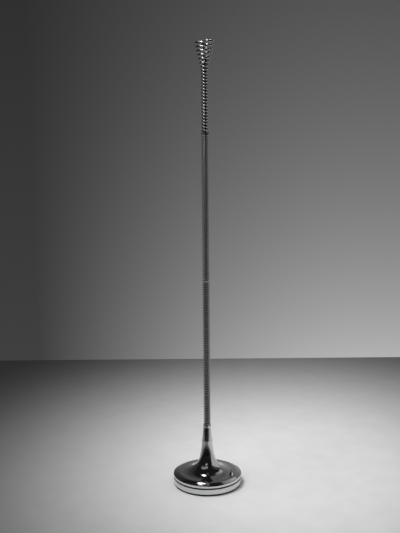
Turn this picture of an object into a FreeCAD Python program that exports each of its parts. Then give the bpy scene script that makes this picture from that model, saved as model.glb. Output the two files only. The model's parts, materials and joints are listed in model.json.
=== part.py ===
import FreeCAD, Part
import math
import os

# Telescopic floor lamp: a weighted disc with a trumpet cover, a two-tube telescope inside a long coil
# spring, and a second, thicker spring that flares into an open cone round a capsule bulb.
# Millimetres, +Z up, origin on the floor under the middle of the base.

# ---- overall sizes -------------------------------------------------------------------------------
base_radius = 140.0
lamp_height = 1790.0            # telescope extended
head_height = 358.0             # from the underside of the collar between the two springs to the top
telescope_travel = 450.0

# ---- clearances ----------------------------------------------------------------------------------
fit = 0.05                      # radial, between fixed pieces that fit one in another
running = 0.06                  # radial, between pieces that slide or turn
seat_gap = 0.3                  # between a spring's wire and what it bears on

# ---- foot, lower disc and ballast ----------------------------------------------------------------
foot_height = 8.0
foot_width = 14.0
foot_recess = 3.5
disc_inset = 0.5
disc_height = 19.5
disc_wall = 2.0
ballast_bore = 22.0
groove_height = 7.0
groove_depth = 4.5
spacer_width = 10.0

# ---- base cover ----------------------------------------------------------------------------------
rim_height = 7.5                # of its upright side
rim_round = 3.5
crown_slope = 24.0              # degrees, of the cover where it leaves the rim's round
cover_wall = 1.5
cover_lip = 12.0
neck_radius = 21.6
neck_height = 185.0
# Outline from the rim's round (1, 0) to the neck (0, 1): share of the radial way, share of the rise.
# A sloping crown inside the rim, a nearly flat ring, then the trumpet.
trumpet_shape = [
    (0.9407, 0.0222),
    (0.8891, 0.0401),
    (0.8289, 0.0551),
    (0.7687, 0.0608),
    (0.6999, 0.0651),
    (0.6311, 0.0737),
    (0.5193, 0.0987),
    (0.4076, 0.1366),
    (0.2184, 0.2504),
    (0.1015, 0.4346),
    (0.0353, 0.6853),
]

# ---- collar and spring seat ----------------------------------------------------------------------
collar_height = 56.0
collar_inset = 0.9              # of the collar's foot from the neck's outside
collar_margin = -0.2            # of its top beyond the spring seat
collar_wall = 2.5
collar_spigot = 8.0
collar_web = 14.0               # length of the collar's bore on the outer tube
seat_margin = 1.0               # of the seat beyond the stem spring
seat_height = 10.0
seat_screw_count = 6
seat_screw_radius = 2.0
seat_screw_first = -52.0 - 90.0  # azimuth of the screw left of the front
screw_sink = 0.5
key_depth = 1.5                 # of the socket in a grub screw's end

# ---- telescope -----------------------------------------------------------------------------------
outer_tube_radius = 8.75
outer_tube_wall = 1.25
slide_bush_wall = 1.0
inner_tube_wall = 1.0
closed_space = 128.0            # between the outer tube's mouth and the junction collar, telescope closed
tube_bush_length = 40.0
bush_lip = 4.0
slide_bush_length = 60.0
slide_bush_below = 4.0          # inner tube left under the slide bush
stop_gap = 0.4
rivet_radius = 1.5

# ---- stem socket and its fixings -----------------------------------------------------------------
flange_radius = 46.0
flange_thickness = 6.0
hub_wall = 8.25                 # round the outer tube
hub_height = 46.5
socket_screw_radius = 2.0
bolt_radius = 3.0
bolt_circle = 36.0
bolt_count = 4
bolt_head_radius = 5.0
bolt_head_height = 3.0
bolt_thread_depth = 5.0
socket_screw_below = 6.0        # from the top of the hub to its grub screws

# ---- springs -------------------------------------------------------------------------------------
stem_wire = 5.2
stem_pitch = 16.9               # before rounding to whole turns
stem_spring_clearance = 0.85    # round the outer tube
head_wire = 8.3
head_pitch = 12.0               # on the straight stretch, before rounding to whole turns
head_spring_clearance = 0.5     # round the lamp pipe
shade_radius = 38.1             # outside, at the mouth
shade_pitch = 15.0
shade_turns = 5.5               # turns at the full shade pitch
shade_pitch_blend = 3.0         # turns over which the pitch grows to it
flare_height = 140.0            # height over which the wire spreads, if the cone ran on to its end
flare_above_top = 5.0           # how far above the lamp's top that end lies
shade_node_turns = 4            # turns of the head spring's wire kept apart as the shade
wire_joint_inset = 0.3          # how far inside the coil its two lengths meet
lug_length = 4.0                # of the block that stops a wire's end
lug_share = 0.7                 # its height as a share of the wire
end_turn_ramp = 0.2             # turns over which an end coil leaves its seat

# ---- junction collar and lamp pipe ---------------------------------------------------------------
junction_thickness = 6.0
junction_floor = 1.5            # under the lamp pipe
spigot_length = 24.0
spigot_wall = 1.45
pipe_step = 0.5                 # of the lamp pipe inside the inner tube's bore
pipe_wall = 1.5
collar_screw_radius = 1.5

# ---- lamp holder and bulb ------------------------------------------------------------------------
holder_height = 14.0
holder_radius = 8.5
holder_above = 74.0             # from the top of the holder to the top of the lamp
adapter_wall = 2.5              # round the lamp pipe
adapter_height = 12.0
adapter_plate = 3.0
adapter_hole = 3.0
pin_spacing = 6.35
pin_radius = 0.5
contact_radius = 1.2
contact_length = 10.0
pin_depth = 10.0
holder_screw_radius = 1.0
holder_screw_offset = 5.6
bulb_radius = 6.0
bulb_wall = 0.8
bulb_height = 27.0
bulb_lift = 1.5
pinch_height = 7.5
pinch_width = 9.0
pinch_thickness = 3.8
filament_height = 15.0
filament_radius = 0.45

# ---- transformer ---------------------------------------------------------------------------------
transformer_radius = 48.0
transformer_clearance = 2.0     # round the socket's hub
transformer_height = 27.0
transformer_round = 6.0
pad_thickness = 1.5
washer_radius = 32.0
washer_thickness = 1.5
clamp_nut_radius = 25.0
clamp_nut_height = 8.0

# ---- terminal block, leads and cord inlet --------------------------------------------------------
block_size = (28.0, 14.0, 14.0)
block_clearance = 11.0
block_well_radius = 2.0
block_well_depth = 3.0
wire_radius = 1.3
lamp_lead_radius = 2.0
lamp_lead_rise = 14.0
lead_hole_above_hub = 4.0
lead_hole_height = 12.0
curly_lead_radius = 4.5
upper_lead_radius = 1.5
curly_lead_above_hub = 30.0
gland_radius = 5.0
gland_bore = 3.6
gland_length = 20.0
gland_flange_radius = 7.5
gland_flange_length = 6.0
gland_nut_flats = 13.0
gland_nut_length = 7.5
gland_slot_length = 54.0

# ---- switch --------------------------------------------------------------------------------------
switch_from_rim = 30.0
switch_azimuth = -29.0
switch_body_size = (19.0, 13.0, 13.0)
bushing_radius = 4.5
bushing_length = 7.0
switch_nut_flats = 12.0
switch_nut_thickness = 2.0
switch_nut_clearance = 0.55      # of its middle under the cover's crown
ferrule_low_radius = 7.5
ferrule_top_radius = 4.6
ferrule_mouth_radius = 3.7
ferrule_height = 13.0
lever_ball_radius = 2.9
lever_pivot_height = 4.0
lever_neck_radius = 1.2
lever_knob_radius = 2.4
lever_length = 15.0
lever_tail = 5.0
lever_lean = 13.0               # degrees either side of upright

# ---- sizes that follow ---------------------------------------------------------------------------
disc_radius = base_radius - disc_inset
disc_top = foot_height + disc_height
junction_height = lamp_height - head_height
outer_tube_bore = outer_tube_radius - outer_tube_wall
inner_tube_radius = outer_tube_bore - slide_bush_wall
inner_tube_bore = inner_tube_radius - inner_tube_wall
pipe_radius = inner_tube_bore - pipe_step
pipe_low = junction_height + junction_floor
outer_tube_top = junction_height - telescope_travel - closed_space - bush_lip
spigot_bore = inner_tube_bore - fit - spigot_wall
hub_radius = outer_tube_radius + hub_wall
adapter_radius = pipe_radius + adapter_wall
stem_spring_radius = outer_tube_radius + stem_spring_clearance + stem_wire
head_spring_radius = pipe_radius + head_spring_clearance + head_wire
junction_radius = max(stem_spring_radius, head_spring_radius)
seat_radius = stem_spring_radius + seat_margin
collar_low_radius = neck_radius - collar_inset
collar_top_radius = seat_radius + collar_margin
transformer_bore = hub_radius + transformer_clearance
ballast_low = foot_height + disc_wall
cover_low = disc_top + groove_height
rim_top = cover_low + rim_height
crown_tilt = math.radians(crown_slope)
crown_edge = base_radius - rim_round * (1 - math.sin(crown_tilt))
cover_shoulder = rim_top + rim_round * math.cos(crown_tilt)
hub_low = disc_top + flange_thickness
hub_top = hub_low + hub_height
collar_top = neck_height + collar_height
seat_top = collar_top + seat_height
junction_top = junction_height + junction_thickness
holder_top = lamp_height - holder_above
holder_low = holder_top - holder_height
adapter_low = holder_low - adapter_height
pipe_top = holder_low - adapter_plate
tube_bush_low = outer_tube_top - tube_bush_length
slide_bush_top = tube_bush_low - stop_gap
slide_bush_low = slide_bush_top - slide_bush_length
inner_tube_low = slide_bush_low - slide_bush_below
transformer_low = hub_low + pad_thickness
transformer_top = transformer_low + transformer_height
curly_lead_low = hub_top + curly_lead_above_hub

ORIGIN = FreeCAD.Vector(0, 0, 0)
UP = FreeCAD.Vector(0, 0, 1)
EAST = FreeCAD.Vector(1, 0, 0)
NORTH = FreeCAD.Vector(0, 1, 0)


# ---- building blocks -----------------------------------------------------------------------------
def vector(x, y, z):
    return FreeCAD.Vector(x, y, z)


def polar(radius, azimuth, height):
    angle = math.radians(azimuth)
    return vector(radius * math.cos(angle), radius * math.sin(angle), height)


def rod(radius, low, high, x=0.0, y=0.0):
    return Part.makeCylinder(radius, high - low, vector(x, y, low))


def tube(radius, bore, low, high):
    return rod(radius, low, high).cut(rod(bore, low - 1, high + 1))


def block(x_low, x_high, y_low, y_high, z_low, z_high):
    return Part.makeBox(x_high - x_low, y_high - y_low, z_high - z_low, vector(x_low, y_low, z_low))


def hexagon(across_flats, low, high):
    corner = across_flats / math.sqrt(3)
    points = [polar(corner, 60 * i, low) for i in range(7)]
    return Part.Face(Part.makePolygon(points)).extrude(vector(0, 0, high - low))


def turned(profile):
    """Solid of revolution about Z of a closed wire in the XZ plane."""
    return Part.Face(profile).revolve(ORIGIN, UP, 360)


def turned_outline(points):
    corners = [vector(r, 0, z) for r, z in points]
    return turned(Part.makePolygon(corners + corners[:1]))


def lying_rod(radius, start, end):
    return Part.makeCylinder(radius, (end - start).Length, start, end - start)


def around(shape, count, first=0.0):
    """Copies of a shape made at azimuth 0, spread evenly round the axis."""
    return [shape.rotated(ORIGIN, UP, first + 360.0 * i / count) for i in range(count)]


def cut_all(shape, tools):
    return shape.cut(Part.makeCompound(tools))


def save(name, *solids):
    shape = solids[0] if len(solids) == 1 else Part.makeCompound(solids)
    if not shape.isValid():
        raise ValueError(name + " is not a valid shape")
    shape.exportStep(os.path.join("parts", name + ".step"))


# ---- wires and leads -----------------------------------------------------------------------------
def arc_in(start, corner, end):
    """Arc tangent to both sides of a corner whose two sides are equally long."""
    middle = (start + end) * 0.5
    cosine = (end - start).Length / 2 / (corner - start).Length
    top = middle + (corner - middle) * (cosine / (1 + cosine))
    return Part.Arc(start, top, end).toShape()


def biarc(start, heading, end, end_heading):
    chord = end - start
    sides = heading + end_heading
    bend = 2 * (1 - heading.dot(end_heading))
    along = chord.dot(sides)
    reach = (math.sqrt(along * along + bend * chord.dot(chord)) - along) / bend
    first_corner = start + heading * reach
    last_corner = end - end_heading * reach
    joint = (first_corner + last_corner) * 0.5
    return [arc_in(start, first_corner, joint), arc_in(joint, last_corner, end)]


def swept_wire(edges, start, heading, radius):
    profile = Part.Wire(Part.Circle(start, heading, radius).toShape())
    return Part.Wire(edges).makePipeShell([profile], True, False)


def lead(points, radius):
    """Round lead along straight runs joined by tangent arcs as large as the shorter run allows."""
    edges = []
    last = points[0]
    for before, corner, after in zip(points, points[1:], points[2:]):
        come = corner - before
        go = after - corner
        setback = 0.45 * min(come.Length, go.Length)
        arc_start = corner - come.normalize() * setback
        arc_end = corner + go.normalize() * setback
        edges.append(Part.LineSegment(last, arc_start).toShape())
        edges.append(arc_in(arc_start, corner, arc_end))
        last = arc_end
    edges.append(Part.LineSegment(last, points[-1]).toShape())
    return swept_wire(edges, points[0], (points[1] - points[0]).normalize(), radius)


def eased(u):
    """Area, as far as u, under a step that grows smoothly from 0 at 0 to 1 at 1."""
    if u <= 0:
        return 0.0
    return u ** 3 - u ** 4 / 2 if u < 1 else u - 0.5


def wire_end(point, heading, wire, joined):
    """Tip of a wire, and where the straight end behind the tip begins; heading points out of the wire.

    A joined end, which another length of the same wire carries on, lies a little inside the coil."""
    if joined:
        radius = math.hypot(point.x, point.y)
        tip = point - vector(point.x, point.y, 0) * (wire_joint_inset / radius)
        return tip, tip - heading * wire
    return point + heading * wire, point


def coil(name, centre, first_turn, last_turn, wire, arcs_per_turn, low_joined=False, high_joined=False):
    """One unbroken wire along centre(turn), with a straight end one wire thick on both sides."""
    delta = 1e-4

    def heading(turn):
        return (centre(turn + delta) - centre(turn - delta)).normalize()

    turns = last_turn - first_turn
    marks = [first_turn + i / arcs_per_turn for i in range(turns * arcs_per_turn + 1)]
    points = [centre(mark) for mark in marks]
    headings = [heading(mark) for mark in marks]
    low_tip, points[0] = wire_end(points[0], headings[0] * -1, wire, low_joined)
    high_tip, points[-1] = wire_end(points[-1], headings[-1], wire, high_joined)
    edges = [Part.LineSegment(low_tip, points[0]).toShape()]
    for i in range(len(marks) - 1):
        edges += biarc(points[i], headings[i], points[i + 1], headings[i + 1])
    edges.append(Part.LineSegment(points[-1], high_tip).toShape())
    solid = swept_wire(edges, low_tip, headings[0], wire / 2)

    samples_per_turn = 24
    samples = Part.Wire(edges).discretize(turns * samples_per_turn)
    half_turn = samples_per_turn // 2
    gap = min(
        samples[i].distanceToPoint(samples[j])
        for i in range(len(samples))
        for j in range(i + half_turn, min(i + 3 * half_turn, len(samples)))
    ) - wire
    length = sum(edge.Length for edge in edges)
    share = solid.Volume / (math.pi * wire * wire / 4 * length)
    tightest = min(edge.Curve.Radius for edge in edges if hasattr(edge.Curve, "Radius"))
    print(f"{name}: {turns} turns, wire {length:.0f} mm, tightest arc {tightest:.1f} mm")
    print(f"{name}: least gap {gap:.2f} mm, volume over section times length {share:.4f}")
    return solid


# ---- foot, disc, ballast -------------------------------------------------------------------------
def socket_bolt_holes(radius, low, high):
    return around(rod(radius, low, high, bolt_circle), bolt_count, 45)


def make_foot():
    outer = disc_radius - foot_recess
    save("foot_ring", tube(outer, outer - foot_width, 0, foot_height))


def gland_height():
    return ballast_low + gland_flange_radius + 0.5


def make_base_disc():
    pan = rod(disc_radius, foot_height, disc_top)
    pan = pan.cut(rod(disc_radius - disc_wall, ballast_low, disc_top + 1))
    middle = vector(0, disc_radius - 2 * disc_wall, gland_height())
    gland_hole = Part.makeCylinder(gland_radius + fit, 3 * disc_wall, middle, NORTH)
    holes = socket_bolt_holes(bolt_radius + 2 * fit, 0, disc_top)
    save("base_disc", cut_all(pan, holes + [gland_hole]))


def make_ballast():
    outer = disc_radius - disc_wall - 2 * fit
    casting = tube(outer, ballast_bore, ballast_low, disc_top)
    half_slot = gland_flange_radius + 1
    slot = block(-half_slot, half_slot, outer - gland_slot_length, outer + 1, 0, disc_top + 1)
    holes = socket_bolt_holes(bolt_radius + 2 * fit, 0, disc_top + 1)
    save("ballast", cut_all(casting, holes + [slot]))


def make_spacer():
    outer = base_radius - groove_depth
    save("spacer_ring", tube(outer, outer - spacer_width, disc_top, cover_low))


# ---- cover ---------------------------------------------------------------------------------------
def trumpet_curve():
    """Outer outline of the trumpet in the XZ plane, from the rim to the neck."""
    spread = crown_edge - neck_radius
    rise = neck_height - cover_shoulder
    shares = [(1, 0)] + trumpet_shape + [(0, 1)]
    points = [vector(neck_radius + r * spread, 0, cover_shoulder + z * rise) for r, z in shares]
    curve = Part.BSplineCurve()
    rim_tangent = vector(-math.cos(crown_tilt), 0, math.sin(crown_tilt))
    curve.interpolate(Points=points, InitialTangent=rim_tangent, FinalTangent=vector(-0.03, 0, 1))
    return curve


def inner_curve(curve):
    """The outline one wall further in, through evenly spread points of the outer one."""
    count = 24
    first, last = curve.FirstParameter, curve.LastParameter
    points = []
    for i in range(count + 1):
        where = first + (last - first) * i / count
        along = curve.tangent(where)[0]
        inward = vector(along.z, 0, -along.x).multiply(-cover_wall)
        points.append(curve.value(where) + inward)
    inner = Part.BSplineCurve()
    inner.interpolate(Points=points)
    return inner


def cover_at(radius):
    """Height of the cover's outer face at a radius, and how far its normal leans outward in degrees."""
    curve = trumpet_curve()
    low, high = curve.FirstParameter, curve.LastParameter
    for _ in range(60):
        middle = (low + high) / 2
        if curve.value(middle).x > radius:
            low = middle
        else:
            high = middle
    along = curve.tangent(low)[0]
    return curve.value(low).z, math.degrees(math.atan2(along.z, -along.x))


def switch_placement():
    radius = base_radius - switch_from_rim
    height, lean = cover_at(radius)
    turn = FreeCAD.Rotation(UP, switch_azimuth).multiply(FreeCAD.Rotation(NORTH, lean))
    return FreeCAD.Placement(polar(radius, switch_azimuth, height), turn)


def placed(shape):
    """A shape of the switch, made about its own upright axis, on its slope of the cover."""
    return shape.transformGeometry(switch_placement().toMatrix())


def make_cover():
    outer = trumpet_curve()
    inner = inner_curve(outer)
    rim_in = base_radius - cover_wall
    round_in = rim_round - cover_wall
    half_tilt = (math.pi / 2 + crown_tilt) / 2
    outer_start = outer.value(outer.FirstParameter)
    outer_end = outer.value(outer.LastParameter)
    inner_start = inner.value(inner.FirstParameter)
    inner_end = inner.value(inner.LastParameter)
    centre_r = base_radius - rim_round
    lip_in = base_radius - cover_lip
    low = cover_low
    lip_top = cover_low + cover_wall
    side = vector(base_radius, 0, rim_top)
    side_in = vector(rim_in, 0, rim_top)
    middle_of_round = vector(math.sin(half_tilt), 0, math.cos(half_tilt))
    turn = vector(centre_r, 0, rim_top) + middle_of_round * rim_round
    turn_in = vector(centre_r, 0, rim_top) + middle_of_round * round_in

    def line(start, end):
        return Part.LineSegment(start, end).toShape()

    edges = [
        line(vector(lip_in, 0, low), vector(base_radius, 0, low)),
        line(vector(base_radius, 0, low), side),
        Part.Arc(side, turn, outer_start).toShape(),
        outer.toShape(),
        line(outer_end, inner_end),
        inner.toShape(),
        Part.Arc(inner_start, turn_in, side_in).toShape(),
        line(side_in, vector(rim_in, 0, lip_top)),
        line(vector(rim_in, 0, lip_top), vector(lip_in, 0, lip_top)),
        line(vector(lip_in, 0, lip_top), vector(lip_in, 0, low)),
    ]
    cover = turned(Part.Wire(Part.__sortEdges__(edges)))
    bushing_hole = placed(rod(bushing_radius + 2 * fit, -4 * cover_wall, 2 * cover_wall))
    save("base_cover", cover.cut(bushing_hole))


# ---- stem foot: socket, collar, spring seat ------------------------------------------------------
def make_socket():
    flange = rod(flange_radius, disc_top, hub_low)
    hub = rod(hub_radius, hub_low - 1, hub_top)
    bore = rod(outer_tube_radius + fit, hub_low, hub_top + 1)
    drain = rod(outer_tube_bore - 1, disc_top - 1, hub_low + 1)
    threads = socket_bolt_holes(bolt_radius + fit, disc_top - 1, disc_top + bolt_thread_depth + fit)
    level = hub_top - socket_screw_below
    screw_hole = lying_rod(socket_screw_radius + fit, vector(0, 0, level), vector(hub_radius + 1, 0, level))
    cuts = threads + around(screw_hole, 2, 90) + [bore, drain]
    save("stem_socket", cut_all(flange.fuse(hub), cuts))
    low = outer_tube_radius + 2 * fit
    screw = lying_rod(socket_screw_radius, vector(low, 0, level), vector(hub_radius - screw_sink, 0, level))
    save("socket_screws", *around(screw, 2, 90))
    shank = rod(bolt_radius, foot_height - 1, disc_top + bolt_thread_depth, bolt_circle)
    head = rod(bolt_head_radius, foot_height - bolt_head_height, foot_height, bolt_circle)
    save("socket_bolts", *around(shank.fuse(head), bolt_count, 45))


def make_collar():
    slope = (collar_low_radius - collar_top_radius) / collar_height
    bore = outer_tube_radius + fit
    spigot = neck_radius - cover_wall - 2 * fit
    spigot_low = neck_height - collar_spigot
    outline = [
        (spigot - collar_wall, spigot_low),
        (spigot, spigot_low),
        (spigot, neck_height),
        (collar_low_radius, neck_height),
        (collar_top_radius, collar_top),
        (bore, collar_top),
        (bore, collar_top - collar_web),
        (collar_top_radius + slope * collar_web - collar_wall, collar_top - collar_web),
    ]
    save("collar", turned_outline(outline))


def spring_lug(wire, coil_radius, side, base, upward):
    """Block on a seat whose upright face stops the end of the wire at the back of the seat."""
    face = side * (wire + seat_gap)
    far = face + side * lug_length
    top = base + upward * lug_share * wire
    left, right = sorted((face, far))
    low, high = sorted((base, top))
    return block(left, right, coil_radius - wire / 2, coil_radius + wire / 2, low, high)


def make_spring_seat():
    ring = tube(seat_radius, outer_tube_radius + fit, collar_top, seat_top)
    coil_radius = stem_spring_radius - stem_wire / 2
    lug = spring_lug(stem_wire, coil_radius, 1, seat_top - 0.01, 1)
    lug = lug.common(rod(seat_radius, collar_top, seat_top + stem_wire))
    middle = (collar_top + seat_top) / 2
    hole = lying_rod(seat_screw_radius + fit, vector(0, 0, middle), vector(seat_radius + 1, 0, middle))
    ring = cut_all(ring, around(hole, seat_screw_count, seat_screw_first))
    save("spring_seat", ring.fuse(lug))
    inner_end = vector(outer_tube_radius + fit, 0, middle)
    outer_end = vector(seat_radius - screw_sink, 0, middle)
    socket = lying_rod(seat_screw_radius / 2, outer_end - EAST * key_depth, outer_end + EAST)
    screw = lying_rod(seat_screw_radius, inner_end, outer_end).cut(socket)
    save("seat_screws", *around(screw, seat_screw_count, seat_screw_first))


# ---- telescope -----------------------------------------------------------------------------------
def rivets(inner, outer, height, radius):
    return around(lying_rod(radius, vector(inner, 0, height), vector(outer, 0, height)), 2, 0)


def make_outer_tube():
    pipe = tube(outer_tube_radius, outer_tube_bore, hub_low, outer_tube_top)
    low = hub_top + lead_hole_above_hub
    half = lamp_lead_radius + 1
    slot = block(0, outer_tube_radius + 1, -half, half, low, low + lead_hole_height)
    save("outer_tube", pipe.cut(slot))
    bore = inner_tube_radius + running
    sleeve = tube(outer_tube_bore - fit, bore, tube_bush_low, outer_tube_top)
    lip = tube(outer_tube_radius, bore, outer_tube_top, outer_tube_top + bush_lip)
    save("tube_bush", sleeve.fuse(lip).removeSplitter())


def spigot_rivet_height():
    return junction_height - spigot_length / 2


def make_inner_tube():
    middle = slide_bush_low + slide_bush_length / 2
    holes = rivets(0, inner_tube_radius + 2, middle, rivet_radius + fit)
    holes += rivets(0, inner_tube_radius + 2, spigot_rivet_height(), rivet_radius + fit)
    pipe = tube(inner_tube_radius, inner_tube_bore, inner_tube_low, junction_height)
    save("inner_tube", cut_all(pipe, holes))
    outer = outer_tube_bore - running
    bush = tube(outer, inner_tube_radius + fit, slide_bush_low, slide_bush_top)
    save("slide_bush", cut_all(bush, rivets(0, outer + 2, middle, rivet_radius + fit)))
    save("bush_rivets", *rivets(inner_tube_bore, outer - 0.15, middle, rivet_radius))


def make_junction():
    flange = rod(junction_radius, junction_height, junction_top)
    spigot = rod(inner_tube_bore - fit, junction_height - spigot_length, junction_height)
    low_coil = stem_spring_radius - stem_wire / 2
    high_coil = head_spring_radius - head_wire / 2
    low_lug = spring_lug(stem_wire, low_coil, -1, junction_height + 0.01, -1)
    high_lug = spring_lug(head_wire, high_coil, 1, junction_top - 0.01, 1)
    reach = rod(junction_radius, junction_height - stem_wire, junction_top + head_wire)
    lugs = low_lug.fuse(high_lug).common(reach)
    middle = (pipe_low + junction_top) / 2
    hole_end = vector(0, junction_radius + 1, middle)
    screw_hole = lying_rod(collar_screw_radius + fit, vector(0, 0, middle), hole_end)
    holes = rivets(spigot_bore + 0.2, inner_tube_radius + 2, spigot_rivet_height(), rivet_radius + fit)
    bores = [
        rod(spigot_bore, junction_height - spigot_length - 1, pipe_low + 1),
        rod(pipe_radius + fit, pipe_low, junction_top + 1),
        screw_hole,
    ]
    save("junction_collar", cut_all(flange.fuse(spigot).fuse(lugs), bores + holes))
    inner = vector(0, pipe_radius + 2 * fit, middle)
    outer = vector(0, junction_radius - screw_sink, middle)
    save("collar_screw", lying_rod(collar_screw_radius, inner, outer))
    spigot_in = spigot_bore + 0.3
    save("spigot_rivets", *rivets(spigot_in, inner_tube_radius, spigot_rivet_height(), rivet_radius))
    save("lamp_pipe", tube(pipe_radius, pipe_radius - pipe_wall, pipe_low, pipe_top))


# ---- springs -------------------------------------------------------------------------------------
def on_coil(radius, turn, height):
    """Point of a right-handed coil that starts at the back."""
    return polar(radius, 90 + 360 * turn, height)


def make_stem_spring():
    low = seat_top + seat_gap + stem_wire / 2
    high = junction_height - seat_gap - stem_wire / 2
    radius = stem_spring_radius - stem_wire / 2
    ramp = end_turn_ramp
    turns = round((high - low) / stem_pitch + ramp)
    pitch = (high - low) / (turns - ramp)

    def centre(turn):
        rise = eased(turn / ramp) - eased((turn - turns + ramp) / ramp)
        return on_coil(radius, turn, low + pitch * ramp * rise)

    save("stem_spring", coil("stem_spring", centre, 0, turns, stem_wire, 2))


def make_head_spring():
    low = junction_top + seat_gap + head_wire / 2
    stub_rise = shade_pitch * head_wire / (2 * math.pi * (shade_radius - head_wire / 2))
    high = lamp_height - head_wire / 2 - stub_rise
    ramp = end_turn_ramp
    shade_weight = shade_turns + shade_pitch_blend / 2
    straight_rise = high - low - shade_pitch * shade_weight
    turns = round(straight_rise / head_pitch + ramp / 2 + shade_weight)
    straight_pitch = straight_rise / (turns - ramp / 2 - shade_weight)
    blend_start = turns - shade_turns - shade_pitch_blend
    flare_start = lamp_height + flare_above_top - flare_height

    def centre(turn):
        rise = straight_pitch * ramp * eased(turn / ramp)
        wider = (shade_pitch - straight_pitch) * shade_pitch_blend
        height = low + rise + wider * eased((turn - blend_start) / shade_pitch_blend)
        share = min(max((height - flare_start) / flare_height, 0.0), 1.0)
        spread = share * share * (3 - 2 * share)
        outside = head_spring_radius + (shade_radius - head_spring_radius) * spread
        return on_coil(outside - head_wire / 2, turn, height)

    print(f"head_spring: straight pitch {straight_pitch:.2f} mm")
    joint = turns - shade_node_turns
    save("head_spring", coil("head_spring", centre, 0, joint, head_wire, 4, high_joined=True))
    save("shade_spring", coil("shade_spring", centre, joint, turns, head_wire, 4, low_joined=True))


# ---- lamp holder and bulb ------------------------------------------------------------------------
def both_sides(x, y, radius, low, high):
    return [rod(radius, low, high, x, y), rod(radius, low, high, -x, -y)]


def make_holder():
    half = pin_spacing / 2
    screw_low = holder_low - adapter_plate + 0.4
    adapter = rod(adapter_radius, adapter_low, holder_low)
    cuts = [
        rod(pipe_radius + fit, adapter_low - 1, pipe_top),
        rod(adapter_hole, adapter_low, holder_low + 1),
    ]
    cuts += both_sides(0, holder_screw_offset, holder_screw_radius + fit, screw_low - fit, holder_low + 1)
    save("holder_adapter", cut_all(adapter, cuts))
    contact_low = holder_top - 1 - contact_length
    holder = rod(holder_radius, holder_low, holder_top)
    cuts = both_sides(half, 0, contact_radius + fit, contact_low, holder_top + 1)
    cuts += both_sides(0, holder_screw_offset, holder_screw_radius + fit, holder_low - 1, holder_top + 1)
    save("lamp_holder", cut_all(holder, cuts))
    contacts = both_sides(half, 0, contact_radius, contact_low, holder_top - 1)
    pin_holes = both_sides(half, 0, pin_radius + fit, holder_top - pin_depth - fit, holder_top)
    save("holder_contacts", *[contact.cut(hole) for contact, hole in zip(contacts, pin_holes)])
    shanks = both_sides(0, holder_screw_offset, holder_screw_radius, screw_low, holder_top + 1)
    heads = both_sides(0, holder_screw_offset, 1.8 * holder_screw_radius, holder_top, holder_top + 1.2)
    save("holder_screws", *[shank.fuse(head) for shank, head in zip(shanks, heads)])


def capsule(radius, low, high):
    """Cylinder with a domed top."""
    dome = radius
    straight = high - dome
    return rod(radius, low, straight).fuse(
        Part.makeSphere(dome, vector(0, 0, straight)).common(rod(radius + 1, straight - 0.5, high + 1))
    )


def make_bulb():
    half = pin_spacing / 2
    low = holder_top + bulb_lift
    body_low = low + pinch_height
    top = body_low + bulb_height
    glass = capsule(bulb_radius, body_low, top)
    wide = pinch_width / 2
    thick = pinch_thickness / 2
    pinch = block(-wide, wide, -thick, thick, low, body_low + bulb_wall)
    inside = capsule(bulb_radius - bulb_wall, body_low + 2 * bulb_wall, top - bulb_wall)
    pins_top = body_low
    wells = both_sides(half, 0, pin_radius + fit, low - 1, body_low + 3 * bulb_wall)
    save("bulb_glass", cut_all(glass.fuse(pinch), wells + [inside]))
    save("bulb_pins", *both_sides(half, 0, pin_radius, holder_top - pin_depth, pins_top))
    filament_top = body_low + filament_height
    posts = both_sides(half, 0, filament_radius * 0.7, pins_top, filament_top)
    bar = lying_rod(filament_radius, vector(-half, 0, filament_top), vector(half, 0, filament_top))
    save("bulb_filament", posts[0].fuse(posts[1]).fuse(bar))


# ---- electrical pieces in the base ---------------------------------------------------------------
def make_transformer():
    save("transformer_pad", tube(flange_radius, hub_radius + 1, hub_low, transformer_low))
    ring = tube(transformer_radius, transformer_bore, transformer_low, transformer_top)
    corners = [edge for edge in ring.Edges if len(edge.Vertexes) == 1]
    save("transformer", ring.makeFillet(transformer_round, corners))
    washer_top = transformer_top + washer_thickness
    save("transformer_washer", tube(washer_radius, hub_radius + 3 * fit, transformer_top, washer_top))
    nut_top = washer_top + clamp_nut_height
    save("transformer_nut", tube(clamp_nut_radius, hub_radius + fit, washer_top, nut_top))


def block_middle():
    return transformer_radius + block_clearance + block_size[1] / 2


def make_terminal_block():
    width, depth, height = block_size
    middle = block_middle()
    body = block(-width / 2, width / 2, middle - depth / 2, middle + depth / 2, disc_top, disc_top + height)
    top = disc_top + height
    well_low = top - block_well_depth
    wells = [rod(block_well_radius, well_low, top + 1, width * share, middle) for share in (-0.3, 0.0, 0.3)]
    save("terminal_block", cut_all(body, wells))


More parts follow.
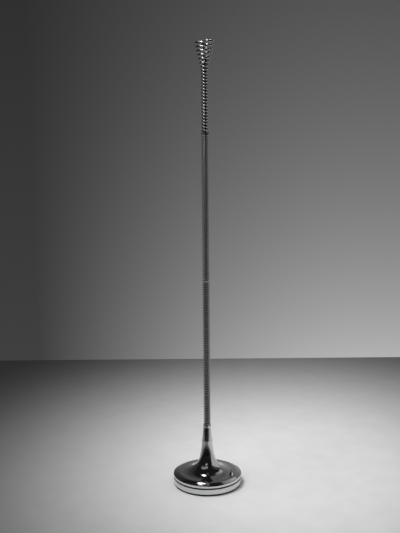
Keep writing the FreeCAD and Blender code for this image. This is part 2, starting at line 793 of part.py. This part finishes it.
def make_leads():
    width, depth, _ = block_size
    lead_height = disc_top + 6.5
    place = switch_placement()
    body_end = -switch_body_size[0] / 2 - 0.1
    nut_low = -cover_wall - switch_nut_clearance - switch_nut_thickness
    body_depth = nut_low - switch_body_size[2] / 2
    route = [
        vector(width / 2 + 0.1, block_middle(), lead_height),
        vector(width / 2 + 20, block_middle(), lead_height),
        polar(transformer_radius + 22, 20, lead_height + 2),
        place.multVec(vector(body_end - 16, 0, body_depth)),
        place.multVec(vector(body_end, 0, body_depth)),
    ]
    save("switch_lead", lead(route, wire_radius))
    side = width / 4
    height = disc_top + 8.5
    start = vector(-side, block_middle() - depth / 2 - 0.1, height)
    end = vector(-side, math.sqrt(transformer_radius ** 2 - side ** 2) + 0.1, height)
    save("transformer_lead", lying_rod(wire_radius, start, end))
    across = washer_radius + lamp_lead_radius + 3
    turn_in = hub_top + lead_hole_above_hub + lead_hole_height - lamp_lead_radius
    route = [
        vector(across, 0, transformer_top + 0.1),
        vector(across, 0, transformer_top + lamp_lead_rise),
        vector(0, 0, turn_in),
        vector(0, 0, curly_lead_low),
    ]
    save("lamp_lead", lead(route, lamp_lead_radius))
    curly_top = inner_tube_low - 1
    save("curly_lead", rod(curly_lead_radius, curly_lead_low, curly_top))
    save("upper_lead", rod(upper_lead_radius, curly_top, holder_low))


def make_gland():
    height = gland_height()
    outer_end = disc_radius - 0.3
    inner_end = outer_end - gland_length
    axis_start = vector(0, inner_end, height)
    flange_end = disc_radius - disc_wall - 0.5
    body = Part.makeCylinder(gland_radius, gland_length, axis_start, NORTH)
    flange_start = vector(0, flange_end - gland_flange_length, height)
    flange = Part.makeCylinder(gland_flange_radius, gland_flange_length, flange_start, NORTH)
    bore = Part.makeCylinder(gland_bore, gland_length + 2, axis_start - NORTH, NORTH)
    save("cord_gland", body.fuse(flange).cut(bore))
    nut = hexagon(gland_nut_flats, 0, gland_nut_length).cut(rod(gland_radius + fit, -1, gland_nut_length + 1))
    nut.rotate(ORIGIN, EAST, -90)
    nut.translate(axis_start + NORTH * 0.5)
    save("gland_nut", nut)


# ---- switch --------------------------------------------------------------------------------------
def make_switch():
    length, width, depth = switch_body_size
    nut_low = -cover_wall - switch_nut_clearance - switch_nut_thickness
    bore = lever_ball_radius + running
    body = block(-length / 2, length / 2, -width / 2, width / 2, nut_low - depth, nut_low)
    bushing = rod(bushing_radius, nut_low - 0.5, bushing_length)
    cavity = rod(bore, nut_low - lever_tail, bushing_length + 1)
    save("switch_body", placed(body.fuse(bushing).cut(cavity)))
    nut = hexagon(switch_nut_flats, nut_low, nut_low + switch_nut_thickness)
    save("switch_nut", placed(nut.cut(rod(bushing_radius + fit, nut_low - 1, 0))))
    lift = 0.15
    cone = Part.makeCone(ferrule_low_radius, ferrule_top_radius, ferrule_height, vector(0, 0, lift))
    cone = cone.cut(rod(bushing_radius + fit, -1, bushing_length + fit))
    save("switch_ferrule", placed(cone.cut(rod(ferrule_mouth_radius, 0, ferrule_height + 1))))
    pivot = vector(0, 0, lever_pivot_height)
    lever = Part.makeSphere(lever_ball_radius, pivot)
    tip = lever_pivot_height + lever_length
    lever = lever.fuse(rod(lever_neck_radius, lever_pivot_height, tip))
    lever = lever.fuse(rod(lever_neck_radius * 0.8, lever_pivot_height - lever_tail, lever_pivot_height))
    lever = lever.fuse(Part.makeSphere(lever_knob_radius, vector(0, 0, tip)))
    lever.rotate(pivot, EAST, -lever_lean)
    save("switch_lever", placed(lever))
    place = switch_placement()
    where = place.multVec(pivot)
    axis = place.Rotation.multVec(EAST)
    print("switch pivot", *(round(value, 3) for value in where), "axis", *(round(value, 6) for value in axis))


def main():
    os.makedirs("parts", exist_ok=True)
    make_foot()
    make_base_disc()
    make_ballast()
    make_spacer()
    make_cover()
    make_socket()
    make_collar()
    make_spring_seat()
    make_outer_tube()
    make_inner_tube()
    make_junction()
    make_stem_spring()
    make_head_spring()
    make_holder()
    make_bulb()
    make_transformer()
    make_terminal_block()
    make_leads()
    make_gland()
    make_switch()


main()
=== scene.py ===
import json
import math

import bpy
import numpy as np
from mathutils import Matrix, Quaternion, Vector


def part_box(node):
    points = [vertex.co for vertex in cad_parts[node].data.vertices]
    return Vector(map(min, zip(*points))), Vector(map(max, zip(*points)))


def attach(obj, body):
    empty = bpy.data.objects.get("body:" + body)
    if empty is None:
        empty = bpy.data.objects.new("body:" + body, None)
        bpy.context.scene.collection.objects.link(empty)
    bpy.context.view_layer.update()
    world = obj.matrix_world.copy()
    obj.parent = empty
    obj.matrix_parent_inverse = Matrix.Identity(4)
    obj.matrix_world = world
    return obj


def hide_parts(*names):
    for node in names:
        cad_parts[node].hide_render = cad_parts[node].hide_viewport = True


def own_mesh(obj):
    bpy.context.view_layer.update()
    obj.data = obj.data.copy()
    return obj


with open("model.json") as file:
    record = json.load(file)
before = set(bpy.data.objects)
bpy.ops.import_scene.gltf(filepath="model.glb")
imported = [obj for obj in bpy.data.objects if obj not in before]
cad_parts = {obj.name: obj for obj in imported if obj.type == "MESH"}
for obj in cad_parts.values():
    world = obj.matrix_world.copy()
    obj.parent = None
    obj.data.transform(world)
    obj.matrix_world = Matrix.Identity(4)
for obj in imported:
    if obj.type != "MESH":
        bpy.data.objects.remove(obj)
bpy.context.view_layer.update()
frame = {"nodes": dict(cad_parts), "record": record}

# ---- camera, as the photograph was taken: metres and degrees ---------------------------------------
CAMERA_DISTANCE = 3.717
CAMERA_HEIGHT = 1.668
CAMERA_SIDE = -0.0235
CAMERA_PITCH = 11.5             # below the horizon
CAMERA_ROLL = -0.5
FOCAL_PIXELS = 959.0
LONG_SIDE_PIXELS = 533.0
SENSOR = 36.0

# ---- springs ---------------------------------------------------------------------------------------
STEM_WIRE = 0.0052
STEM_TURNS = 125
STEM_PITCH_GROWTH = 0.23        # natural log of the lowest pitch over the highest
HEAD_WIRE = 0.0083
HEAD_TURNS = 27
SHADE_PITCH = 0.015
SHADE_TURNS = 5.5
SHADE_PITCH_BLEND = 3.0
SHADE_RADIUS = 0.0381
HEAD_RADIUS = 0.0138
FLARE_HEIGHT = 0.140
FLARE_ABOVE_TOP = 0.005
END_TURN_RAMP = 0.2
STEM_LEAD_IN = 0.35             # turns over which the stem coil leaves its flat ends
STEM_STEPS = 40                 # per turn
HEAD_STEPS = 72
STEM_SIDES = 18                 # round the wire
HEAD_SIDES = 24
WIRE_END_CHAMFER = 0.0004

# ---- stage: metres, and tones as they look on screen -------------------------------------------------
WALL_Y = 1.74
POOL_X = 0.447                  # middle of the pool of light painted into the floor's colour
POOL_Y = 0.177
POOL_WIDTH = 0.78               # across, over its depth
# painted light: the floor's tone inside the pool of light, and its painted shade outside it
POOL_INSIDE = 0.25
POOL_OUTSIDE = 2.578
POOL_TONE = 0.88
SHADED_FLOOR_TONE = 0.213
GAMMA = 2.2
FLOOR_SCALE = 1.1
ROOM_REFLECTED = 0.012
FRONT_REFLECTED = 0.25          # painted shade: share of the floor's tone, nearer than the picture, in reflections
FILL_LEVEL = 0.35

# the wall behind the lamp; its glow is painted light
WALL_SIDE = 5.0                 # half its width
WALL_TOP = 2.25
WALL_DARK_X = -0.977            # where its painted glow starts, and where it is full
WALL_FULL_X = 0.935
WALL_GLOW_END = 1.6             # in quarter waves, where the painted glow stops falling off to the right
WALL_PAINTED_GLOW = 0.431
WALL_GLOW_HEIGHT = 1.722
WALL_TONE = 0.26
WALL_TONE_FALL = 0.028          # painted darkening, per metre of height
FLOOR_HALF = 12.0
FRONT_SLANT = 0.25              # of the line where the painted shade of the reflected floor starts
FRONT_DARK = -0.80
FRONT_FULL = -0.45

WHITE = (1.0, 1.0, 1.0)
KEY_PLACE = (-0.80, -0.92, 2.32)
KEY_TARGET = (0, 0, 1.90)
KEY_SPREAD = 48.0               # degrees
TOP_PLACE = (-0.7, -0.1, 2.9)
TOP_TARGET = (0, 0.1, 0)

# sockets of the Mix node in its colour mode
MIX_COLOUR_A = 6
MIX_COLOUR_B = 7
MIX_COLOUR_OUT = 2


# ---- node helpers ----------------------------------------------------------------------------------
class Finish:
    """A node material, with short calls for the nodes that the finishes share."""

    def __init__(self, name):
        self.material = bpy.data.materials.new(name)
        self.material.use_nodes = True
        self.nodes = self.material.node_tree.nodes
        self.links = self.material.node_tree.links
        self.shader = self.nodes["Principled BSDF"]
        self.place = self.nodes.new("ShaderNodeTexCoord").outputs["Object"]

    def set(self, **values):
        for key, value in values.items():
            socket = self.shader.inputs[key.replace("_", " ")]
            socket.default_value = (*value, 1.0) if isinstance(value, tuple) else value
        return self

    def feed(self, key, output):
        self.links.new(output, self.shader.inputs[key])
        return self

    def node(self, kind, inputs, output=0, **settings):
        made = self.nodes.new(kind)
        for key, value in settings.items():
            setattr(made, key, value)
        for key, value in inputs.items():
            if isinstance(value, bpy.types.NodeSocket):
                self.links.new(value, made.inputs[key])
            else:
                made.inputs[key].default_value = value
        return made.outputs[output]

    def stretched(self, scale):
        return self.node("ShaderNodeMapping", {"Vector": self.place, "Scale": scale})

    def noise(self, scale, detail=3.0, roughness=0.55, place=None):
        inputs = {"Vector": place or self.place, "Scale": scale, "Detail": detail, "Roughness": roughness}
        return self.node("ShaderNodeTexNoise", inputs)

    def cells(self, scale, place=None):
        return self.node("ShaderNodeTexVoronoi", {"Vector": place or self.place, "Scale": scale})

    def remap(self, value, low, high, to_low=0.0, to_high=1.0):
        inputs = {"Value": value, "From Min": low, "From Max": high, "To Min": to_low, "To Max": to_high}
        return self.node("ShaderNodeMapRange", inputs)

    def smooth(self, value, low, high, to_low=0.0, to_high=1.0):
        inputs = {"Value": value, "From Min": low, "From Max": high, "To Min": to_low, "To Max": to_high}
        return self.node("ShaderNodeMapRange", inputs, interpolation_type="SMOOTHSTEP")

    def math(self, operation, first, second=0.0):
        return self.node("ShaderNodeMath", {0: first, 1: second}, operation=operation)

    def blend(self, share, low, high):
        inputs = {0: share, MIX_COLOUR_A: (*low, 1.0), MIX_COLOUR_B: (*high, 1.0)}
        return self.node("ShaderNodeMix", inputs, MIX_COLOUR_OUT, data_type="RGBA")

    def bump(self, height, strength, distance, below=None):
        inputs = {"Height": height, "Strength": strength, "Distance": distance}
        if below is not None:
            inputs["Normal"] = below
        return self.node("ShaderNodeBump", inputs)


# ---- finishes --------------------------------------------------------------------------------------
def chrome(name, colour, least_rough, smudge, wave, pits):
    """Chrome plate: haze and finger smears in the roughness, polishing waves, fine pits."""
    f = Finish(name)
    haze = f.noise(28.0, 5.0, 0.6)
    smear = f.noise(9.0, 2.0, 0.5, f.stretched((1.0, 1.0, 2.5)))
    cloudy = f.math("MULTIPLY", f.remap(haze, 0.35, 0.75), f.remap(smear, 0.4, 0.7))
    specks = f.remap(f.cells(420.0), 0.0, 0.09, 1.0, 0.0)
    rare = f.remap(f.noise(60.0, 2.0), 0.60, 0.70)
    pitted = f.math("MULTIPLY", f.math("MULTIPLY", specks, rare), pits)
    hazed = f.remap(cloudy, 0.0, 1.0, least_rough, least_rough + smudge)
    rough = f.math("ADD", hazed, f.math("MULTIPLY", pitted, 0.35))
    dull = tuple(0.45 * c for c in colour)
    f.set(Metallic=1.0)
    f.feed("Base Color", f.blend(pitted, colour, dull))
    f.feed("Roughness", rough)
    waves = f.bump(f.noise(16.0, 1.0, 0.4), wave, 0.0006)
    scratches = f.noise(900.0, 2.0, 0.7, f.stretched((1.0, 1.0, 0.05)))
    f.feed("Normal", f.bump(scratches, 0.05, 0.00004, waves))
    return f.material


def lacquer(name, colour, low_rough, high_rough, grain):
    """Sprayed black lacquer: orange peel, a little dust, uneven gloss."""
    f = Finish(name)
    dust = f.remap(f.noise(45.0, 5.0, 0.65), 0.45, 0.85)
    f.feed("Base Color", f.blend(dust, colour, tuple(1.7 * c + 0.004 for c in colour)))
    f.feed("Roughness", f.remap(f.noise(30.0, 3.0), 0.3, 0.7, low_rough, high_rough))
    f.set(Specular_IOR_Level=0.5)
    f.feed("Normal", f.bump(f.noise(grain, 2.0, 0.5), 0.12, 0.0002))
    return f.material


def casting(name, colour):
    f = Finish(name)
    grain = f.noise(260.0, 6.0, 0.7)
    f.feed("Base Color", f.blend(f.remap(grain, 0.35, 0.7), colour, tuple(2.2 * c for c in colour)))
    f.feed("Roughness", f.remap(grain, 0.3, 0.7, 0.55, 0.85))
    f.feed("Normal", f.bump(grain, 0.5, 0.0005))
    return f.material


def moulded(name, colour, rough, grain=700.0, depth=0.0001):
    """Moulded plastic or rubber: spark-eroded grain, faint flow marks."""
    f = Finish(name)
    flow = f.noise(22.0, 2.0, 0.5, f.stretched((1.0, 1.0, 0.3)))
    f.feed("Base Color", f.blend(f.remap(flow, 0.3, 0.7), tuple(0.88 * c for c in colour), colour))
    f.feed("Roughness", f.remap(f.noise(60.0, 3.0), 0.3, 0.7, rough - 0.06, rough + 0.06))
    f.feed("Normal", f.bump(f.noise(grain, 3.0, 0.6), 0.25, depth))
    return f.material


def turned_metal(name, colour, rough):
    """Lathe-turned metal: fine rings along Z, stains."""
    f = Finish(name)
    rings = f.noise(40.0, 3.0, 0.7, f.stretched((1.0, 1.0, 60.0)))
    stain = f.remap(f.noise(35.0, 4.0), 0.45, 0.8)
    f.set(Metallic=1.0)
    f.feed("Base Color", f.blend(stain, colour, tuple(0.6 * c for c in colour)))
    f.feed("Roughness", f.remap(rings, 0.3, 0.7, rough - 0.08, rough + 0.08))
    f.feed("Normal", f.bump(rings, 0.2, 0.00005))
    return f.material


def quartz(name):
    f = Finish(name)
    f.set(Base_Color=(0.97, 0.98, 0.985), Transmission_Weight=1.0, IOR=1.46)
    f.feed("Roughness", f.remap(f.noise(180.0, 3.0), 0.4, 0.8, 0.01, 0.06))
    f.feed("Normal", f.bump(f.noise(120.0, 1.0), 0.05, 0.0002))
    return f.material


def wound_tape(name, colour):
    """Overlapping wraps of polyester tape round the ring transformer."""
    f = Finish(name)
    wraps = f.node("ShaderNodeTexGradient", {"Vector": f.place}, gradient_type="RADIAL")
    lap = f.math("FRACT", f.math("MULTIPLY", wraps, 44.0))
    f.feed("Base Color", f.blend(lap, colour, tuple(0.6 * c for c in colour)))
    f.feed("Roughness", f.remap(f.noise(90.0, 3.0), 0.3, 0.7, 0.25, 0.45))
    f.feed("Normal", f.bump(lap, 0.5, 0.0003))
    return f.material


CHROME = (0.64, 0.645, 0.65)
FINISHES = {
    "chrome_polished": chrome("chrome_polished", CHROME, 0.11, 0.10, 0.10, 1.0),
    "chrome_spring": chrome("chrome_spring", CHROME, 0.07, 0.12, 0.04, 0.7),
    "black_paint": lacquer("black_paint", (0.012, 0.012, 0.013), 0.30, 0.48, 900.0),
    "cast_black": casting("cast_black", (0.03, 0.03, 0.033)),
    "black_plastic": moulded("black_plastic", (0.012, 0.012, 0.012), 0.5),
    "rubber_foot": moulded("rubber_foot", (0.02, 0.02, 0.02), 0.7, 420.0, 0.0002),
    "steel_turned": turned_metal("steel_turned", (0.56, 0.57, 0.58), 0.28),
    "zinc_screw": turned_metal("zinc_screw", (0.10, 0.10, 0.105), 0.42),
    "nylon_bush": moulded("nylon_bush", (0.74, 0.73, 0.69), 0.45),
    "brass": turned_metal("brass", (0.72, 0.55, 0.25), 0.25),
    "steatite_black": moulded("steatite_black", (0.025, 0.025, 0.026), 0.28, 300.0, 0.00008),
    "bulb_glass": quartz("bulb_glass"),
    "tungsten": turned_metal("tungsten", (0.45, 0.45, 0.47), 0.35),
    "winding_wrap": wound_tape("winding_wrap", (0.80, 0.52, 0.10)),
    "terminal_grey": moulded("terminal_grey", (0.52, 0.54, 0.55), 0.5),
    "wire_black": moulded("wire_black", (0.02, 0.02, 0.02), 0.5, 500.0),
    "wire_brown": moulded("wire_brown", (0.24, 0.11, 0.05), 0.5, 500.0),
}


def dress_cad_nodes():
    for part in frame["record"]["subparts"]:
        mesh = frame["nodes"][part["node"]].data
        mesh.materials.clear()
        mesh.materials.append(FINISHES[part["material_slot"]])


# ---- mesh helpers ----------------------------------------------------------------------------------
def mesh_piece(name, points, faces, slot, body, replaced):
    mesh = bpy.data.meshes.new(name)
    mesh.from_pydata([tuple(p) for p in points], [], faces)
    mesh.polygons.foreach_set("use_smooth", [True] * len(mesh.polygons))
    mesh.update()
    mesh.set_sharp_from_angle(angle=math.radians(40))
    mesh.materials.append(FINISHES[slot])
    piece = bpy.data.objects.new(name, mesh)
    bpy.context.scene.collection.objects.link(piece)
    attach(piece, body)
    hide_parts(*replaced)
    return piece


def wire_mesh(centres, radius, sides):
    """Points and faces of a round wire along a line, with chamfered ends."""
    centres = np.asarray(centres)
    along = np.gradient(centres, axis=0)
    along /= np.linalg.norm(along, axis=1)[:, None]
    outward = centres * (1.0, 1.0, 0.0)
    outward -= (outward * along).sum(1)[:, None] * along
    outward /= np.linalg.norm(outward, axis=1)[:, None]
    across = np.cross(along, outward)
    turn = 2 * math.pi * np.arange(sides) / sides

    def ring(i, size, shift=0.0):
        middle = centres[i] + shift * along[i]
        return middle + size * (np.outer(np.cos(turn), outward[i]) + np.outer(np.sin(turn), across[i]))

    chamfer = WIRE_END_CHAMFER
    rings = [ring(0, radius - chamfer)]
    rings += [ring(0, radius, chamfer)]
    rings += [ring(i, radius) for i in range(1, len(centres) - 1)]
    rings += [ring(len(centres) - 1, radius, -chamfer)]
    rings += [ring(len(centres) - 1, radius - chamfer)]
    points = np.concatenate(rings)
    faces = []
    for i in range(len(rings) - 1):
        low, high = i * sides, (i + 1) * sides
        for j in range(sides):
            k = (j + 1) % sides
            faces.append((low + j, low + k, high + k, high + j))
    faces.append(tuple(range(sides - 1, -1, -1)))
    last = (len(rings) - 1) * sides
    faces.append(tuple(range(last, last + sides)))
    return points, faces


def on_coil(radius, turn, height):
    """Point of a right-handed coil that starts at the back."""
    angle = math.pi / 2 + 2 * math.pi * turn
    return (radius * math.cos(angle), radius * math.sin(angle), height)


def eased(u):
    """Area, as far as u, under a step that grows smoothly from 0 at 0 to 1 at 1."""
    if u <= 0:
        return 0.0
    return u ** 3 - u ** 4 / 2 if u < 1 else u - 0.5


# ---- springs ---------------------------------------------------------------------------------------
def make_stem_spring():
    low_corner, high_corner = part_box("stem_spring")
    radius = high_corner.x - STEM_WIRE / 2
    low = low_corner.z + STEM_WIRE / 2
    high = high_corner.z - STEM_WIRE / 2
    growth = math.exp(STEM_PITCH_GROWTH) - 1

    def height(turn):
        """A pitch that grows steadily from top to bottom."""
        from_top = (STEM_TURNS - turn) / STEM_TURNS
        fall = (math.exp(STEM_PITCH_GROWTH * from_top) - 1) / growth
        return high - (high - low) * fall

    def settled(turn):
        """The turn whose height this turn takes: flat at both ends, and level with it halfway."""
        middle = STEM_TURNS / 2
        from_end = min(turn, STEM_TURNS - turn)
        reached = STEM_LEAD_IN * (eased(from_end / STEM_LEAD_IN) + from_end / middle / 2)
        return reached if turn < middle else STEM_TURNS - reached

    turns = [i / STEM_STEPS for i in range(STEM_TURNS * STEM_STEPS + 1)]
    centres = [on_coil(radius, turn, height(settled(turn))) for turn in turns]
    points, faces = wire_mesh(centres, STEM_WIRE / 2, STEM_SIDES)
    coil = mesh_piece("stem_coil", points, faces, "chrome_spring", "base", ["stem_spring"])
    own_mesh(coil)


def make_head_spring():
    low_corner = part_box("head_spring")[0]
    lamp_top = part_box("shade_spring")[1].z
    low = low_corner.z + HEAD_WIRE / 2
    stub_rise = SHADE_PITCH * HEAD_WIRE / (2 * math.pi * (SHADE_RADIUS - HEAD_WIRE / 2))
    high = lamp_top - HEAD_WIRE / 2 - stub_rise
    shade_weight = SHADE_TURNS + SHADE_PITCH_BLEND / 2
    straight_rise = high - low - SHADE_PITCH * shade_weight
    pitch = straight_rise / (HEAD_TURNS - END_TURN_RAMP / 2 - shade_weight)
    blend_start = HEAD_TURNS - SHADE_TURNS - SHADE_PITCH_BLEND
    flare_start = lamp_top + FLARE_ABOVE_TOP - FLARE_HEIGHT
    wider = (SHADE_PITCH - pitch) * SHADE_PITCH_BLEND

    def centre(turn):
        rise = pitch * END_TURN_RAMP * eased(turn / END_TURN_RAMP)
        height = low + rise + wider * eased((turn - blend_start) / SHADE_PITCH_BLEND)
        share = min(max((height - flare_start) / FLARE_HEIGHT, 0.0), 1.0)
        spread = share * share * (3 - 2 * share)
        outside = HEAD_RADIUS + (SHADE_RADIUS - HEAD_RADIUS) * spread
        return on_coil(outside - HEAD_WIRE / 2, turn, height)

    centres = [centre(i / HEAD_STEPS) for i in range(HEAD_TURNS * HEAD_STEPS + 1)]
    points, faces = wire_mesh(centres, HEAD_WIRE / 2, HEAD_SIDES)
    mesh_piece("head_coil", points, faces, "chrome_spring", "upper", ["head_spring", "shade_spring"])


# ---- stage: floor, wall, cards that only reflections see, world, lamps, camera ----------------------
def add_plane(name, corners, material):
    mesh = bpy.data.meshes.new(name)
    mesh.from_pydata(corners, [], [(0, 1, 2, 3)])
    mesh.materials.append(material)
    plane = bpy.data.objects.new(name, mesh)
    bpy.context.scene.collection.objects.link(plane)
    return plane


def shown_as_light(f, tone):
    """Give a backdrop its tone for the camera and for reflections, from its front only."""
    paths = f.nodes.new("ShaderNodeLightPath").outputs
    seen = f.math("ADD", paths["Is Camera Ray"], paths["Is Glossy Ray"])
    seen = f.math("ADD", seen, paths["Is Transmission Ray"])
    front = f.math("SUBTRACT", 1.0, f.nodes.new("ShaderNodeNewGeometry").outputs["Backfacing"])
    share = f.math("MULTIPLY", f.math("MINIMUM", seen, 1.0), front)
    glow = f.node("ShaderNodeEmission", {"Color": tone})
    clear = f.node("ShaderNodeBsdfTransparent", {})
    shown = f.node("ShaderNodeMixShader", {0: share, 1: clear, 2: glow})
    f.links.new(shown, f.nodes["Material Output"].inputs["Surface"])


def make_floor():
    """A pale floor, with the pool of light that fell on the real floor painted into its colour: darker
    outside the pool.
    """
    f = Finish("floor")
    axes = f.nodes.new("ShaderNodeSeparateXYZ")
    f.links.new(f.place, axes.inputs[0])
    across = f.math("DIVIDE", f.math("SUBTRACT", axes.outputs[0], POOL_X), POOL_WIDTH)
    along = f.math("SUBTRACT", axes.outputs[1], POOL_Y)
    squares = f.math("ADD", f.math("MULTIPLY", across, across), f.math("MULTIPLY", along, along))
    reach = f.math("SQRT", squares)
    # painted light: pale inside the pool of light, painted shade outside it
    tone = f.smooth(reach, POOL_INSIDE, POOL_OUTSIDE, POOL_TONE, SHADED_FLOOR_TONE)
    # painted shade: nearer than the picture, the floor darkens in reflections only
    toward = f.math("ADD", axes.outputs[1], f.math("MULTIPLY", axes.outputs[0], FRONT_SLANT))
    shade = f.smooth(toward, FRONT_DARK, FRONT_FULL, FRONT_REFLECTED - 1.0, 0.0)
    mirrored = f.nodes.new("ShaderNodeLightPath").outputs["Is Glossy Ray"]
    tone = f.math("MULTIPLY", tone, f.math("ADD", f.math("MULTIPLY", shade, mirrored), 1.0))
    grain = f.remap(f.noise(9.0, 6.0, 0.6), 0.3, 0.7, 0.985, 1.015)
    tone = f.math("MULTIPLY", f.math("POWER", f.math("MULTIPLY", tone, grain), GAMMA), FLOOR_SCALE)
    f.feed("Base Color", tone)
    f.set(Roughness=0.75, Specular_IOR_Level=0.2)
    f.feed("Normal", f.bump(f.noise(40.0, 5.0, 0.6), 0.15, 0.002))
    far = FLOOR_HALF
    corners = [(-far, -far, 0), (far, -far, 0), (far, far, 0), (-far, far, 0)]
    add_plane("floor", corners, f.material).visible_shadow = False


def make_wall():
    """The wall behind the lamp, with painted light: brightest low at the right, as the real wall was lit.
    """
    f = Finish("wall")
    axes = f.nodes.new("ShaderNodeSeparateXYZ")
    f.links.new(f.place, axes.inputs[0])
    # painted light: a glow that rises to the right and falls off upwards
    reach = f.remap(axes.outputs[0], WALL_DARK_X, WALL_FULL_X, 0.0, math.pi / 2)
    rise = f.math("SINE", f.math("MINIMUM", reach, WALL_GLOW_END * math.pi / 2))
    fall = f.math("POWER", math.e, f.math("DIVIDE", axes.outputs[2], -WALL_GLOW_HEIGHT))
    glow = f.math("MULTIPLY", f.math("MULTIPLY", rise, fall), WALL_PAINTED_GLOW)
    tone = f.math("ADD", glow, WALL_TONE)
    tone = f.math("SUBTRACT", tone, f.math("MULTIPLY", axes.outputs[2], WALL_TONE_FALL))
    shown_as_light(f, f.math("POWER", tone, GAMMA))
    side, top = WALL_SIDE, WALL_TOP
    corners = [(-side, WALL_Y, 0), (side, WALL_Y, 0), (side, WALL_Y, top), (-side, WALL_Y, top)]
    add_plane("wall", corners, f.material).visible_shadow = False


def reflected_card(name, corners, tone):
    """A source that only reflections see. tone(f, height) gives its brightness by height."""
    f = Finish(name)
    axes = f.nodes.new("ShaderNodeSeparateXYZ")
    f.links.new(f.place, axes.inputs[0])
    shown_as_light(f, tone(f, axes.outputs[2]))
    card = add_plane(name, corners, f.material)
    card.visible_camera = False
    card.visible_shadow = False


def even(tone):
    """The same brightness all over a card."""
    return lambda f, height: (tone, tone, tone, 1.0)


def fading(low, high, low_tone, high_tone):
    """One brightness up to a height, another from a second height on, and a smooth change between."""
    return lambda f, height: f.smooth(height, low, high, low_tone, high_tone)


def facing_square(place, target, width, height):
    """Corners of an upright rectangle that faces target."""
    turn = (Vector(target) - Vector(place)).to_track_quat("Z", "Y")
    signs = [(-1, -1), (1, -1), (1, 1), (-1, 1)]
    return [Vector(place) + turn @ Vector((x * width / 2, y * height / 2, 0)) for x, y in signs]


def make_cards():
    """What stands round the lamp outside the picture, as its reflections show it."""
    x, near, far, top = 1.45, -0.95, WALL_Y, 1.9
    right = [(x, far, 0), (x, near, 0), (x, near, top), (x, far, top)]
    reflected_card("card_right", right, fading(0.85, 1.25, 0.50, 0.05))
    top_place = facing_square((-0.33, 1.0, 2.65), (0, 0, 0.06), 0.34, 0.34)
    reflected_card("card_top", top_place, even(5.0))
    back = [(1.05, 1.68, 1.45), (1.45, 1.40, 1.45), (1.45, 1.40, 3.6), (1.05, 1.68, 3.6)]
    reflected_card("card_back", back, fading(1.5, 3.0, 0.50, 0.30))
    key = facing_square((-0.82, -1.13, 2.0), (0, 0, 2.0), 2.2, 2.0)
    reflected_card("card_key", key, fading(1.2, 1.8, 0.05, 0.32))
    ahead = facing_square((-0.40, -2.3, 1.75), (0, 0, 1.2), 1.0, 1.2)
    reflected_card("card_ahead", ahead, fading(1.1, 1.5, 0.3, 0.7))
    front = [(-1.6, -1.3, 2.75), (1.3, -1.3, 2.75), (1.3, -0.15, 2.75), (-1.6, -0.15, 2.75)]
    reflected_card("card_ceiling", front, even(0.35))
    high = [(0.0, WALL_Y, 2.0), (1.05, WALL_Y, 2.0), (1.05, WALL_Y, 3.5), (0.0, WALL_Y, 3.5)]
    reflected_card("card_high", high, fading(2.0, 3.5, 0.16, 0.10))


def make_world():
    """Plain grey for the camera and for soft fill; a dim room in reflections."""
    world = bpy.data.worlds.new("studio")
    bpy.context.scene.world = world
    world.use_nodes = True
    nodes, links = world.node_tree.nodes, world.node_tree.links
    room = nodes["Background"]
    room.inputs["Color"].default_value = (ROOM_REFLECTED,) * 3 + (1.0,)
    fill = nodes.new("ShaderNodeBackground")
    fill.inputs["Color"].default_value = (FILL_LEVEL,) * 3 + (1.0,)
    mix = nodes.new("ShaderNodeMixShader")
    paths = nodes.new("ShaderNodeLightPath")
    links.new(paths.outputs["Is Glossy Ray"], mix.inputs[0])
    links.new(fill.outputs[0], mix.inputs[1])
    links.new(room.outputs[0], mix.inputs[2])
    links.new(mix.outputs[0], nodes["World Output"].inputs["Surface"])


def area_lamp(name, place, target, size, power, spread=180.0, colour=WHITE):
    """A lamp that the camera does not see, turned towards target."""
    lamp = bpy.data.lights.new(name, "AREA")
    lamp.shape = "RECTANGLE"
    lamp.size, lamp.size_y = size
    lamp.energy = power
    lamp.color = colour
    lamp.spread = math.radians(spread)
    made = bpy.data.objects.new(name, lamp)
    made.location = place
    made.rotation_mode = "QUATERNION"
    made.rotation_quaternion = (Vector(target) - Vector(place)).to_track_quat("-Z", "Y")
    made.visible_camera = False
    bpy.context.scene.collection.objects.link(made)
    return made


def make_lamps():
    """Sizes in metres and powers in watts."""
    area_lamp("key_core", KEY_PLACE, KEY_TARGET, (0.55, 0.5), 0.6, KEY_SPREAD)
    area_lamp("key_wide", KEY_PLACE, KEY_TARGET, (1.7, 0.5), 1.0, KEY_SPREAD)
    top = area_lamp("top", TOP_PLACE, TOP_TARGET, (1.2, 1.2), 60.0)
    top.visible_glossy = False


def make_camera():
    camera = bpy.data.cameras.new("camera")
    camera.sensor_width = SENSOR
    camera.lens = FOCAL_PIXELS / LONG_SIDE_PIXELS * SENSOR
    made = bpy.data.objects.new("camera", camera)
    made.location = (CAMERA_SIDE, -CAMERA_DISTANCE, CAMERA_HEIGHT)
    made.rotation_mode = "QUATERNION"
    tilt = Quaternion((1, 0, 0), math.radians(90 - CAMERA_PITCH))
    made.rotation_quaternion = tilt @ Quaternion((0, 0, 1), math.radians(CAMERA_ROLL))
    bpy.context.scene.collection.objects.link(made)
    bpy.context.scene.camera = made


make_camera()
dress_cad_nodes()
make_stem_spring()
make_head_spring()
make_floor()
make_wall()
make_cards()
make_world()
make_lamps()
bpy.context.scene.view_settings.view_transform = "Standard"
